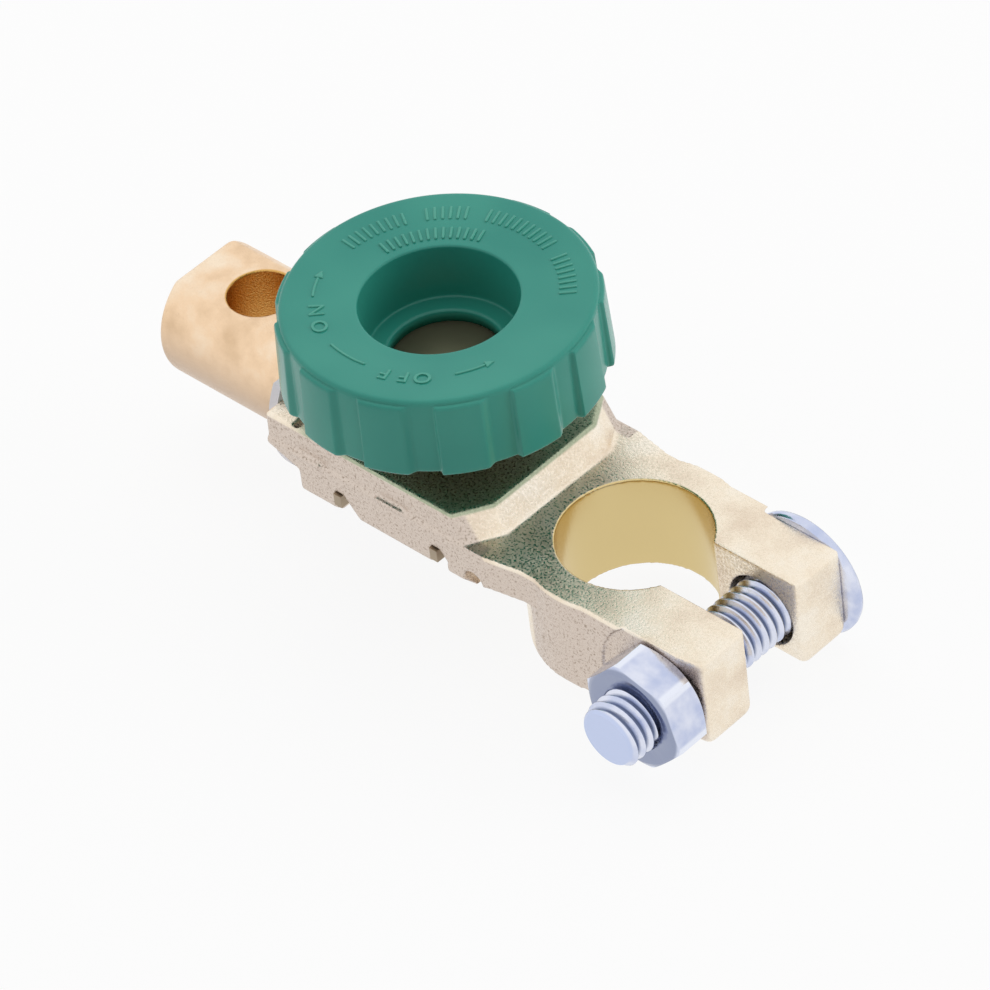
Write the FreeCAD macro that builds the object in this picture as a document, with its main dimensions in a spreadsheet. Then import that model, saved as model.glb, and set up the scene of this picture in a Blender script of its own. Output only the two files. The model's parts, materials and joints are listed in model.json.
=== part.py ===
import FreeCAD, Part
import Sketcher
import os

# Battery terminal disconnect switch, millimetres.
# The origin is the axis of the battery post clamp, on the plane that the clamp's foot stands on.
# +X runs from the lug to the clamp's ears, +Z up along the post.

doc = FreeCAD.newDocument("battery_switch")
dims = doc.addObject("Spreadsheet::Sheet", "dims")

CLAMP_SIZES = {
    "post_radius": 8.75,
    "clamp_height": 12.6,
    "collar_radius": 12.6,
    "ear_end": 19.9,
    "ear_half": 12.2,
    "ear_taper_start": 12.5,
    "ear_tip_half": 11.2,
    "split_half": 4.24,
    "ear_round": 2.0,
    "tip_round": 0.8,
    "neck_under": 8.0,
    "neck_half": 12.0,
    "neck_waist": 6.0,
}
HOUSING_SIZES = {
    "housing_left": 43.9,
    "housing_right": 13.0,
    "housing_top": 16.0,
    "flank_run": 1.9,
    "corner_cut": 4.2,
    "corner_run": 2.6,
    "retainer_rim": 1.8,
    "skirt_under": 7.5,
    "skirt_wall": 1.8,
    "housing_ledge": 0.3,
    "housing_draft": 0.2,
    "roof_thick": 1.6,
    "cavity_end_wall": 1.6,
    "roof_slot_place": 39.5,
    "roof_slot_wide": 0.85,
    "roof_slot_deep": 2.4,
    "roof_slot_margin": 0.2,
    "heel_run": 4.7,
    "heel_top": 11.8,
    "heel_foot": 10.2,
    "mark_proud": 0.3,
    "mark_height": 0.6,
    "mark_long": 4.2,
    "mark_first_place": 37.5,
    "mark_second_place": 24.8,
}
TAB_SIZES = {
    "tab_wide": 5.5,
    "tab_pitch": 14.7,
    "tab_second_wide": 5.3,
    "tab_lip": 1.8,
    "tab_reach": 2.7,
    "tab_bend": 1.1,
    "tab_corner": 1.4,
    "slit_wide": 1.2,
    "slit_slant": 1.3,
    "slit_top": 10.0,
    "nib_wide": 1.1,
    "nib_proud": 0.25,
}
INNER_SIZES = {
    "liner_roof": 1.0,
    "liner_wall": 1.5,
    "tongue_thick": 2.8,
    "base_thick": 0.8,
    "retainer_thick": 1.6,
    "retainer_set": 0.2,
    "seat_gap": 0.1,
    "insulation": 1.6,
    "boss_radius": 7.4,
    "boss_under": 6.2,
    "liner_collar_bore": 5.6,
    "liner_collar_wall": 1.2,
    "liner_collar_set": 0.2,
}
LUG_SIZES = {
    "bar_radius": 8.2,
    "bar_axis_height": 11.8,
    "bar_end": 65.8,
    "bar_flat_height": 6.7,
    "bar_end_round": 0.6,
    "lug_hole_place": 56.3,
    "lug_hole_radius": 3.95,
    "flange_radius": 11.2,
    "flange_thick": 1.2,
    "flange_top": 17.6,
}
KNOB_SIZES = {
    "knob_place": 26.5,
    "knob_lift": 3.5,
    "washer_thick": 1.5,
    "washer_radius": 9.4,
    "washer_bore": 4.6,
    "screw_head_height": 3.1,
    "screw_head_flats": 17.0,
    "thread_radius": 5.0,
    "undercut_radius": 4.4,
    "thread_end": 4.0,
    "thread_chamfer": 0.8,
    "knob_top": 32.8,
    "knob_skirt_under": 23.4,
    "knob_radius": 17.9,
    "knob_cap_proud": 0.3,
    "knob_cap_height": 1.2,
    "knob_edge": 0.6,
    "knob_hole": 8.86,
    "knob_floor": 1.4,
    "knob_floor_hole": 6.4,
    "knob_wall": 2.2,
    "knob_roof": 3.0,
    "knob_hub": 11.6,
    "pad_count": 13,
    "pad_angle": 17.5,
    "pad_turn": -12.0,
    "pad_proud": 0.7,
    "pad_drop": 1.5,
    "pad_round": 0.35,
    "web_count": 6,
    "web_thick": 1.4,
    "web_height": 5.0,
}
BOLT_SIZES = {
    "bolt_place": 13.9,
    "bolt_height": 5.8,
    "bolt_radius": 3.9,
    "bolt_long": 32.0,
    "bolt_seat_set": 0.9,
    "bolt_head_radius": 7.8,
    "bolt_head_rim": 1.0,
    "bolt_head_dome": 2.2,
    "bolt_chamfer": 0.7,
    "bolt_hole": 4.5,
    "neck_square": 8.0,
    "neck_long": 4.4,
    "seat_radius": 8.4,
    "nut_seat_set": 0.5,
    "nut_flats": 12.0,
    "nut_height": 5.2,
    "nut_turn": 46.0,
    "running_gap": 0.05,
}

row = 0
for sizes in (CLAMP_SIZES, HOUSING_SIZES, TAB_SIZES, INNER_SIZES, LUG_SIZES, KNOB_SIZES, BOLT_SIZES):
    for name, size in sizes.items():
        row += 1
        dims.set(f"A{row}", name)
        dims.set(f"B{row}", str(size))
        dims.setAlias(f"B{row}", name)
doc.recompute()

# Heights and places that follow from the driving dimensions, as expressions.
TAB_OUTER_END = "(dims.housing_left - dims.heel_run)"
BASE_COLLAR_RADIUS = "(dims.boss_radius + dims.seat_gap + dims.insulation)"
SKIRT_HALF = f"({BASE_COLLAR_RADIUS} + dims.retainer_rim + 2 * dims.seat_gap + dims.skirt_wall)"
ROOF_UNDER = "(dims.housing_top - dims.roof_thick)"
CAVITY_RIGHT = "(dims.housing_right + dims.cavity_end_wall)"
CAVITY_HALF = f"({SKIRT_HALF} - dims.skirt_wall)"
LINER_HALF = f"({CAVITY_HALF} - dims.seat_gap)"
LINER_RIGHT = f"({CAVITY_RIGHT} + dims.seat_gap)"
TONGUE_TOP = f"({ROOF_UNDER} - dims.liner_roof)"
TONGUE_UNDER = f"({TONGUE_TOP} - dims.tongue_thick)"
BASE_UNDER = f"({TONGUE_UNDER} - dims.base_thick)"
RETAINER_UNDER = f"({BASE_UNDER} - dims.retainer_thick)"
CHANNEL_HALF = f"({LINER_HALF} - dims.liner_wall)"
CHANNEL_RIGHT = f"({LINER_RIGHT} + dims.liner_wall)"
TONGUE_HALF = f"({CHANNEL_HALF} - dims.seat_gap)"
TONGUE_RIGHT = f"({CHANNEL_RIGHT} + dims.seat_gap)"
FLANGE_LEFT = "(dims.housing_left + dims.flange_thick)"
TAB_UNDER = f"({RETAINER_UNDER} - dims.tab_lip)"
LINER_COLLAR_RADIUS = "(dims.liner_collar_bore + dims.liner_collar_wall)"
WASHER_UNDER = "(dims.housing_top + dims.knob_lift)"
HEAD_UNDER = f"({WASHER_UNDER} + dims.washer_thick)"
HEAD_TOP = f"({HEAD_UNDER} + dims.screw_head_height)"
BOLT_SEAT = "(dims.ear_half - dims.bolt_seat_set)"
NUT_SEAT = "(dims.ear_half - dims.nut_seat_set)"
BOLT_END = f"(dims.bolt_long - {BOLT_SEAT})"


def new_body(label):
    body = doc.addObject("PartDesign::Body", label)
    body.Label = label
    return body


def origin_part(body, role):
    return next(part for part in body.Origin.OriginFeatures if part.Role == role)


def value(body, expression):
    return float(body.evalExpression(expression))


def new_sketch(body, name, role, offset=None):
    """A sketch on one of the body's origin planes, moved along the plane's normal by an expression."""
    sketch = body.newObject("Sketcher::SketchObject", name)
    sketch.AttachmentSupport = [(origin_part(body, role), "")]
    sketch.MapMode = "FlatFace"
    if offset is not None:
        sketch.setExpression("AttachmentOffset.Base.z", offset)
    return sketch


def place_point(body, sketch, geometry, end, x, y):
    """Ties one end of an edge, or a circle's centre, to two expressions."""
    for kind, axis, expression in (("DistanceX", -2, x), ("DistanceY", -1, y)):
        if expression == "0":
            sketch.addConstraint(Sketcher.Constraint("PointOnObject", geometry, end, axis))
            continue
        size = value(body, expression)
        index = sketch.addConstraint(Sketcher.Constraint(kind, -1, 1, geometry, end, size))
        sketch.setExpression(f"Constraints[{index}]", expression)


def outline(body, name, role, corners, offset=None):
    """A closed outline of straight edges through corners given as pairs of expressions."""
    sketch = new_sketch(body, name, role, offset)
    points = [FreeCAD.Vector(value(body, x), value(body, y), 0) for x, y in corners]
    count = len(points)
    for index in range(count):
        sketch.addGeometry(Part.LineSegment(points[index], points[(index + 1) % count]))
    for index in range(count):
        sketch.addConstraint(Sketcher.Constraint("Coincident", index, 2, (index + 1) % count, 1))
    for index, (x, y) in enumerate(corners):
        place_point(body, sketch, index, 1, x, y)
    return sketch


def rectangle(body, name, role, low_x, high_x, low_y, high_y, offset=None):
    corners = [(low_x, low_y), (high_x, low_y), (high_x, high_y), (low_x, high_y)]
    return outline(body, name, role, corners, offset)


def mirrored_outline(body, name, role, half, offset=None):
    """An outline symmetric about the X axis, from the corners of its positive side."""
    other = [(x, f"-({y})") for x, y in reversed(half)]
    return outline(body, name, role, half + other, offset)


def circle(body, name, role, x, y, radius, offset=None):
    sketch = new_sketch(body, name, role, offset)
    centre = FreeCAD.Vector(value(body, x), value(body, y), 0)
    normal = FreeCAD.Vector(0, 0, 1)
    sketch.addGeometry(Part.Circle(centre, normal, value(body, radius)))
    place_point(body, sketch, 0, 3, x, y)
    index = sketch.addConstraint(Sketcher.Constraint("Radius", 0, value(body, radius)))
    sketch.setExpression(f"Constraints[{index}]", radius)
    return sketch


def hexagon(body, name, role, flats, turn):
    """A regular hexagon about the sketch's origin, from its size across flats."""
    corners = []
    for step in range(6):
        angle = f"({turn} + {60 * step})"
        reach = f"(({flats}) / sqrt(3))"
        corners.append((f"{reach} * cos({angle})", f"{reach} * sin({angle})"))
    return outline(body, name, role, corners)


def pad(body, name, sketch, length, backwards=False, both_ways=False):
    feature = body.newObject("PartDesign::Pad", name)
    feature.Profile = sketch
    feature.setExpression("Length", length)
    feature.Reversed = backwards
    if both_ways:
        feature.SideType = "Symmetric"
    doc.recompute()
    return feature


def cut_volume(body, feature):
    """Recomputes and makes sure that the cut removed material."""
    before = feature.BaseFeature.Shape.Volume
    doc.recompute()
    if feature.Shape.isNull() or not feature.Shape.Volume < before - 1e-6:
        raise RuntimeError(f"{feature.Label} in {body.Label} removes nothing")
    return feature


def pocket(body, name, sketch, length, backwards=False, both_ways=False):
    feature = body.newObject("PartDesign::Pocket", name)
    feature.Profile = sketch
    feature.setExpression("Length", length)
    feature.Reversed = backwards
    if both_ways:
        feature.SideType = "Symmetric"
    return cut_volume(body, feature)


def turned(body, kind, name, sketch, axis):
    """A Revolution or a Groove of a sketch about one of the body's origin axes."""
    feature = body.newObject(f"PartDesign::{kind}", name)
    feature.Profile = sketch
    feature.ReferenceAxis = (origin_part(body, axis), [""])
    feature.Angle = 360
    if kind == "Groove":
        return cut_volume(body, feature)
    doc.recompute()
    return feature


def mirror(body, name, feature, plane="XZ_Plane"):
    copy = body.newObject("PartDesign::Mirrored", name)
    copy.Originals = [feature]
    copy.MirrorPlane = (origin_part(body, plane), [""])
    body.Tip = copy
    doc.recompute()
    return copy


def round_edges(body, name, chosen, radius):
    """Rounds the edges of the body's tip that the given test picks."""
    doc.recompute()
    base = body.Tip
    names = [f"Edge{i + 1}" for i, edge in enumerate(base.Shape.Edges) if chosen(edge)]
    if not names:
        raise RuntimeError(f"{name} in {body.Label} finds no edge")
    feature = body.newObject("PartDesign::Fillet", name)
    feature.Base = (base, names)
    feature.setExpression("Radius", radius)
    doc.recompute()
    if feature.Shape.isNull() or not feature.Shape.isValid():
        raise RuntimeError(f"{name} in {body.Label} fails")
    return feature


def close_to(a, b):
    return abs(a - b) < 1e-4


def runs_along(edge, axis):
    """True for a straight edge parallel to the axis 0, 1 or 2."""
    if edge.Curve.TypeId != "Part::GeomLine":
        return False
    direction = edge.Curve.Direction
    return abs(abs(direction[axis]) - 1) < 1e-6


def round_tab_corner(body, name, x, inward, outward):
    """Rounds a tab's lower corner, as seen from the side, on both skirts."""
    arc_top = (x, f"{TAB_UNDER} + dims.tab_corner")
    arc_foot = (f"{x} {inward} dims.tab_corner", TAB_UNDER)
    corners = [arc_top, arc_foot, (arc_foot[0], f"{TAB_UNDER} - 1"), (f"{x} {outward} 1", f"{TAB_UNDER} - 1"),
               (f"{x} {outward} 1", arc_top[1])]
    sketch = new_sketch(body, f"{name}_outline", "XZ_Plane", f"{SKIRT_HALF} - dims.tab_reach")
    points = [FreeCAD.Vector(value(body, across), value(body, up), 0) for across, up in corners]
    radius = value(body, "dims.tab_corner")
    centre = FreeCAD.Vector(points[1].x, points[0].y, 0)
    toward = (points[0] + points[1]) / 2 - centre
    sketch.addGeometry(Part.Arc(points[0], centre + toward.normalize() * radius, points[1]))
    for index in range(1, 5):
        sketch.addGeometry(Part.LineSegment(points[index], points[(index + 1) % 5]))
    # Part.Arc may run either way round, so its ends are found by their place.
    start = 1 if sketch.Geometry[0].StartPoint.distanceToPoint(points[0]) < 1e-6 else 2
    sketch.addConstraint(Sketcher.Constraint("Coincident", 0, 3 - start, 1, 1))
    for index in range(1, 4):
        sketch.addConstraint(Sketcher.Constraint("Coincident", index, 2, index + 1, 1))
    sketch.addConstraint(Sketcher.Constraint("Coincident", 4, 2, 0, start))
    place_point(body, sketch, 0, start, *corners[0])
    for index in range(1, 5):
        place_point(body, sketch, index, 1, *corners[index])
    size = sketch.addConstraint(Sketcher.Constraint("Radius", 0, radius))
    sketch.setExpression(f"Constraints[{size}]", "dims.tab_corner")
    cut = pocket(body, name, sketch, "dims.tab_reach + 1", backwards=True)
    mirror(body, f"{name}_far", cut)


def build_clamp_body():
    body = new_body("clamp_body")

    # Ears with their cast roundings, the post collar, and the neck plate behind it.
    ear_side = [("0", "dims.ear_half"), ("dims.ear_taper_start", "dims.ear_half"),
                ("dims.ear_end", "dims.ear_tip_half")]
    ears = mirrored_outline(body, "ear_outline", "XY_Plane", ear_side)
    pad(body, "ears", ears, "dims.clamp_height")
    split = rectangle(body, "split_outline", "XY_Plane", "0", "dims.ear_end + 1",
                      "-dims.split_half", "dims.split_half", "dims.clamp_height")
    pocket(body, "split", split, "dims.clamp_height")
    ear_end = value(body, "dims.ear_end")
    clamp_height = value(body, "dims.clamp_height")

    def lies_under_ear(edge):
        return abs(edge.BoundBox.ZMax) < 0.01 and edge.BoundBox.XLength > 1

    def is_ear_corner(edge):
        box = edge.BoundBox
        return runs_along(edge, 2) and abs(box.XMax - ear_end) < 0.01 and box.ZLength > clamp_height / 2

    round_edges(body, "ear_corner_rounds", is_ear_corner, "dims.tip_round")
    round_edges(body, "ear_bottom_rounds", lies_under_ear, "dims.ear_round")
    collar = circle(body, "collar_outline", "XY_Plane", "0", "0", "dims.collar_radius")
    pad(body, "collar", collar, "dims.clamp_height")
    foot_x = "-(dims.housing_right - dims.flank_run)"
    neck_side = [("-dims.housing_right", SKIRT_HALF), (foot_x, SKIRT_HALF),
                 ("-dims.neck_waist", "dims.neck_half"), ("0", "dims.neck_half")]
    neck = mirrored_outline(body, "neck_outline", "XY_Plane", neck_side, "dims.neck_under")
    pad(body, "neck", neck, "dims.clamp_height - dims.neck_under")

    # Skirts and the raised housing with its sloping flank and cut corners.
    skirts = rectangle(body, "skirt_outline", "XY_Plane", "-dims.housing_left", foot_x,
                       f"-{SKIRT_HALF}", SKIRT_HALF, "dims.skirt_under")
    pad(body, "skirts", skirts, "dims.clamp_height - dims.skirt_under")
    low_half = f"({SKIRT_HALF} - dims.housing_ledge)"
    top_half = f"({low_half} - dims.housing_draft)"
    low_side = [("-dims.housing_left", low_half), (f"{foot_x} - dims.corner_run", low_half),
                (foot_x, f"{low_half} - dims.corner_cut")]
    top_side = [("-dims.housing_left", top_half), ("-dims.housing_right - dims.corner_run", top_half),
                ("-dims.housing_right", f"{top_half} - dims.corner_cut")]
    low = mirrored_outline(body, "housing_foot", "XY_Plane", low_side, "dims.clamp_height")
    top = mirrored_outline(body, "housing_crown", "XY_Plane", top_side, "dims.housing_top")
    housing = body.newObject("PartDesign::AdditiveLoft", "housing")
    housing.Profile = low
    housing.Sections = [top]
    housing.Ruled = True
    doc.recompute()

    # Cavity for the insulated tongue, open below and at the lug's end.
    cavity = rectangle(body, "cavity_outline", "XY_Plane", "-dims.housing_left - 1", f"-{CAVITY_RIGHT}",
                       f"-{CAVITY_HALF}", CAVITY_HALF, ROOF_UNDER)
    pocket(body, "cavity", cavity, ROOF_UNDER)

    # The skirts slope up at the lug's end.
    heel = outline(body, "heel_outline", "XZ_Plane",
                   [("-dims.housing_left", "dims.heel_top"),
                    ("-(dims.housing_left - dims.heel_run)", "dims.heel_foot"),
                    ("-(dims.housing_left - dims.heel_run)", "0"), ("-dims.housing_left - 1", "0"),
                    ("-dims.housing_left - 1", "dims.heel_top")])
    pocket(body, "heel", heel, f"2 * {SKIRT_HALF} + 2", both_ways=True)

    # Slits beside the tabs, where the ends of the retaining plate's nibs show.
    for number in range(2):
        start = f"-({TAB_OUTER_END} - dims.tab_wide - {number} * dims.tab_pitch)"
        slit = outline(body, f"slit_outline_{number + 1}", "XZ_Plane",
                       [(start, "0"), (start, "dims.slit_top"),
                        (f"{start} + dims.nib_wide + 0.2", "dims.slit_top"),
                        (f"{start} + dims.nib_wide + dims.slit_wide + dims.slit_slant", "dims.skirt_under"),
                        (f"{start} + dims.nib_wide + dims.slit_wide + dims.slit_slant", "0")])
        pocket(body, f"slit_{number + 1}", slit, f"2 * {SKIRT_HALF} + 2", both_ways=True)

    # Crimped tabs: their lips are bent in below the retaining plate.
    outer = SKIRT_HALF
    bend_in = f"{outer} - dims.tab_bend"
    tab_section = [(f"-{outer}", "dims.skirt_under + 1"), (f"-{outer}", f"{TAB_UNDER} + dims.tab_bend"),
                   (f"-({bend_in})", TAB_UNDER), (f"-({outer} - dims.tab_reach)", TAB_UNDER),
                   (f"-({outer} - dims.tab_reach)", RETAINER_UNDER), (f"-{CAVITY_HALF}", RETAINER_UNDER),
                   (f"-{CAVITY_HALF}", "dims.skirt_under + 1")]
    second_right = f"-({TAB_OUTER_END} - dims.tab_wide - dims.tab_pitch - dims.nib_wide - dims.slit_wide" \
                   " - dims.tab_second_wide)"
    tabs = ((f"-{TAB_OUTER_END}", "dims.tab_wide"),
            (f"{second_right} - dims.tab_second_wide", "dims.tab_second_wide"))
    for number, (start, wide) in enumerate(tabs, 1):
        section = outline(body, f"tab_section_{number}", "YZ_Plane", tab_section, start)
        lobe = pad(body, f"tab_{number}", section, wide)
        mirror(body, f"tab_{number}_far", lobe)
    round_tab_corner(body, "tab_1_left", f"-{TAB_OUTER_END}", "+", "-")
    round_tab_corner(body, "tab_2_left", f"{second_right} - dims.tab_second_wide", "+", "-")
    round_tab_corner(body, "tab_2_right", second_right, "-", "+")

    # Raised marks on the skirts, level with the ledge.
    for number, place in enumerate(("dims.mark_first_place", "dims.mark_second_place"), 1):
        mark = rectangle(body, f"mark_outline_{number}", "XZ_Plane",
                         f"-{place} - dims.mark_long / 2", f"-{place} + dims.mark_long / 2",
                         "dims.clamp_height - dims.mark_height / 2",
                         "dims.clamp_height + dims.mark_height / 2",
                         f"{SKIRT_HALF} - dims.skirt_wall / 2")
        raised = pad(body, f"mark_{number}", mark, "dims.skirt_wall / 2 + dims.mark_proud")
        mirror(body, f"mark_{number}_far", raised)

    # Screw hole and the narrow slot across the roof.
    screw_hole = circle(body, "screw_hole_outline", "XY_Plane", "-dims.knob_place", "0",
                        f"{LINER_COLLAR_RADIUS} + dims.seat_gap", "dims.housing_top")
    pocket(body, "screw_hole", screw_hole, "dims.roof_thick + 1")
    slot_margin = f"({top_half} - dims.roof_slot_margin)"
    roof_slot = rectangle(body, "roof_slot_outline", "XY_Plane",
                          "-dims.roof_slot_place - dims.roof_slot_wide / 2",
                          "-dims.roof_slot_place + dims.roof_slot_wide / 2",
                          f"-{slot_margin}", slot_margin, "dims.housing_top")
    pocket(body, "roof_slot", roof_slot, "dims.roof_slot_deep")

    # Post bore, and the split through the collar.
    post = circle(body, "post_outline", "XY_Plane", "0", "0", "dims.post_radius", "dims.clamp_height")
    pocket(body, "post_bore", post, "dims.clamp_height")
    collar_split = rectangle(body, "collar_split_outline", "XY_Plane", "0", "dims.ear_end + 1",
                             "-dims.split_half", "dims.split_half", "dims.clamp_height")
    pocket(body, "collar_split", collar_split, "dims.clamp_height")

    # Holes and seats of the clamp bolt.
    bolt_hole = circle(body, "bolt_hole_outline", "XZ_Plane", "dims.bolt_place", "dims.bolt_height",
                       "dims.bolt_hole")
    pocket(body, "bolt_hole", bolt_hole, "2 * dims.ear_half + 2", both_ways=True)
    square = "(dims.neck_square / 2 + dims.running_gap)"
    square_hole = rectangle(body, "square_hole_outline", "XZ_Plane",
                            f"dims.bolt_place - {square}", f"dims.bolt_place + {square}",
                            f"dims.bolt_height - {square}", f"dims.bolt_height + {square}",
                            "-dims.ear_half - 1")
    pocket(body, "square_hole", square_hole, "dims.bolt_seat_set + 1 + dims.neck_long + 0.2",
           backwards=True)
    head_seat = circle(body, "head_seat_outline", "XZ_Plane", "dims.bolt_place", "dims.bolt_height",
                       "dims.seat_radius", f"-{BOLT_SEAT}")
    pocket(body, "head_seat", head_seat, "dims.ear_half")
    nut_seat = circle(body, "nut_seat_outline", "XZ_Plane", "dims.bolt_place", "dims.bolt_height",
                      "dims.seat_radius", NUT_SEAT)
    pocket(body, "nut_seat_face", nut_seat, "dims.ear_half", backwards=True)
    return body


def build_lug_terminal():
    body = new_body("lug_terminal")
    bar = circle(body, "bar_section", "YZ_Plane", "0", "dims.bar_axis_height", "dims.bar_radius",
                 "-dims.bar_end")
    pad(body, "bar", bar, f"dims.bar_end - {FLANGE_LEFT}")
    bar_end = value(body, "dims.bar_end")
    round_edges(body, "bar_end_round", lambda edge: close_to(edge.BoundBox.XMax, -bar_end),
                "dims.bar_end_round")
    reach = "(dims.bar_radius + 1)"
    for name, low, high in (("top_flat", "dims.bar_axis_height + dims.bar_flat_height",
                             f"dims.bar_axis_height + {reach}"),
                            ("under_flat", f"dims.bar_axis_height - {reach}",
                             "dims.bar_axis_height - dims.bar_flat_height")):
        flat = rectangle(body, f"{name}_outline", "XZ_Plane", "-dims.bar_end - 1",
                         f"-{FLANGE_LEFT} + 1", low, high)
        pocket(body, name, flat, "2 * dims.bar_radius + 2", both_ways=True)
    hole = circle(body, "lug_hole_outline", "XY_Plane", "-dims.lug_hole_place", "0",
                  "dims.lug_hole_radius", "dims.bar_axis_height + dims.bar_radius")
    pocket(body, "lug_hole", hole, "2 * dims.bar_radius")

    # Tongue and threaded boss.
    tongue = rectangle(body, "tongue_outline", "XY_Plane", f"-{FLANGE_LEFT}", f"-{TONGUE_RIGHT}",
                       f"-{TONGUE_HALF}", TONGUE_HALF, TONGUE_UNDER)
    pad(body, "tongue", tongue, "dims.tongue_thick")
    boss = circle(body, "boss_outline", "XY_Plane", "-dims.knob_place", "0", "dims.boss_radius",
                  "dims.boss_under")
    pad(body, "boss", boss, f"{TONGUE_UNDER} - dims.boss_under")
    thread = circle(body, "thread_hole_outline", "XY_Plane", "-dims.knob_place", "0",
                    "dims.thread_radius + dims.running_gap", TONGUE_TOP)
    pocket(body, "thread_hole", thread, "dims.bar_radius * 2")
    return body


def build_insulator_liner():
    body = new_body("insulator_liner")
    block = rectangle(body, "liner_outline", "XY_Plane", f"-dims.housing_left - 0.5", f"-{LINER_RIGHT}",
                      f"-{LINER_HALF}", LINER_HALF, BASE_UNDER)
    pad(body, "liner_block", block, f"{ROOF_UNDER} - {BASE_UNDER}")
    flange = circle(body, "flange_outline", "YZ_Plane", "0", "dims.bar_axis_height",
                    "dims.flange_radius", f"-{FLANGE_LEFT}")
    pad(body, "flange", flange, "dims.flange_thick")
    crown = rectangle(body, "flange_crown_outline", "YZ_Plane", "-dims.flange_radius - 1",
                      "dims.flange_radius + 1", "dims.flange_top",
                      "dims.bar_axis_height + dims.flange_radius + 1", f"-{FLANGE_LEFT} - 1")
    pocket(body, "flange_crown", crown, "dims.flange_thick + 2", backwards=True)
    channel = rectangle(body, "channel_outline", "XY_Plane", f"-{FLANGE_LEFT} - 1", f"-{CHANNEL_RIGHT}",
                        f"-{CHANNEL_HALF}", CHANNEL_HALF, TONGUE_TOP)
    pocket(body, "channel", channel, f"dims.tongue_thick")
    below = rectangle(body, "base_seat_outline", "XY_Plane", "-dims.housing_left", f"-{CHANNEL_RIGHT}",
                      f"-{CHANNEL_HALF}", CHANNEL_HALF, TONGUE_UNDER)
    pocket(body, "base_seat", below, "dims.base_thick + 1")
    collar = circle(body, "liner_collar_outline", "XY_Plane", "-dims.knob_place", "0",
                    LINER_COLLAR_RADIUS, ROOF_UNDER)
    pad(body, "liner_collar", collar, "dims.roof_thick - dims.liner_collar_set")
    bore = circle(body, "liner_bore_outline", "XY_Plane", "-dims.knob_place", "0",
                  "dims.liner_collar_bore", "dims.housing_top")
    pocket(body, "liner_bore", bore, "dims.roof_thick + dims.liner_roof + 0.5")
    return body


def build_base_insulator():
    body = new_body("base_insulator")
    plate_half = f"({CHANNEL_HALF} - dims.seat_gap)"
    plate = rectangle(body, "base_outline", "XY_Plane", "-dims.housing_left + dims.seat_gap",
                      f"-{TONGUE_RIGHT}", f"-{plate_half}", plate_half, BASE_UNDER)
    pad(body, "base_plate", plate, "dims.base_thick")
    collar = circle(body, "base_collar_outline", "XY_Plane", "-dims.knob_place", "0",
                    BASE_COLLAR_RADIUS, RETAINER_UNDER)
    pad(body, "base_collar", collar, "dims.retainer_thick")
    bore = circle(body, "base_bore_outline", "XY_Plane", "-dims.knob_place", "0",
                  "dims.boss_radius + dims.seat_gap", TONGUE_UNDER)
    pocket(body, "base_bore", bore, "dims.base_thick + dims.retainer_thick + 1")
    return body


def build_retaining_plate():
    body = new_body("retaining_plate")
    plate = rectangle(body, "retainer_outline", "XY_Plane",
                      f"-({TAB_OUTER_END} - dims.retainer_set)", f"-{LINER_RIGHT}",
                      f"-{LINER_HALF}", LINER_HALF, RETAINER_UNDER)
    pad(body, "plate", plate, "dims.retainer_thick")
    reach = f"{SKIRT_HALF} + dims.nib_proud"
    for number in range(2):
        start = f"-({TAB_OUTER_END} - dims.tab_wide - {number} * dims.tab_pitch) + dims.seat_gap"
        nib = rectangle(body, f"nib_outline_{number + 1}", "XY_Plane", start, f"{start} + dims.nib_wide",
                        f"-({reach})", reach, RETAINER_UNDER)
        pad(body, f"nib_{number + 1}", nib, "dims.retainer_thick")
    hole = circle(body, "collar_hole_outline", "XY_Plane", "-dims.knob_place", "0",
                  f"{BASE_COLLAR_RADIUS} + dims.seat_gap", BASE_UNDER)
    pocket(body, "collar_hole", hole, "dims.retainer_thick + 1")
    return body


def set_on_knob_axis(body):
    body.setExpression(".Placement.Base.x", "-dims.knob_place")
    doc.recompute()


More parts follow.
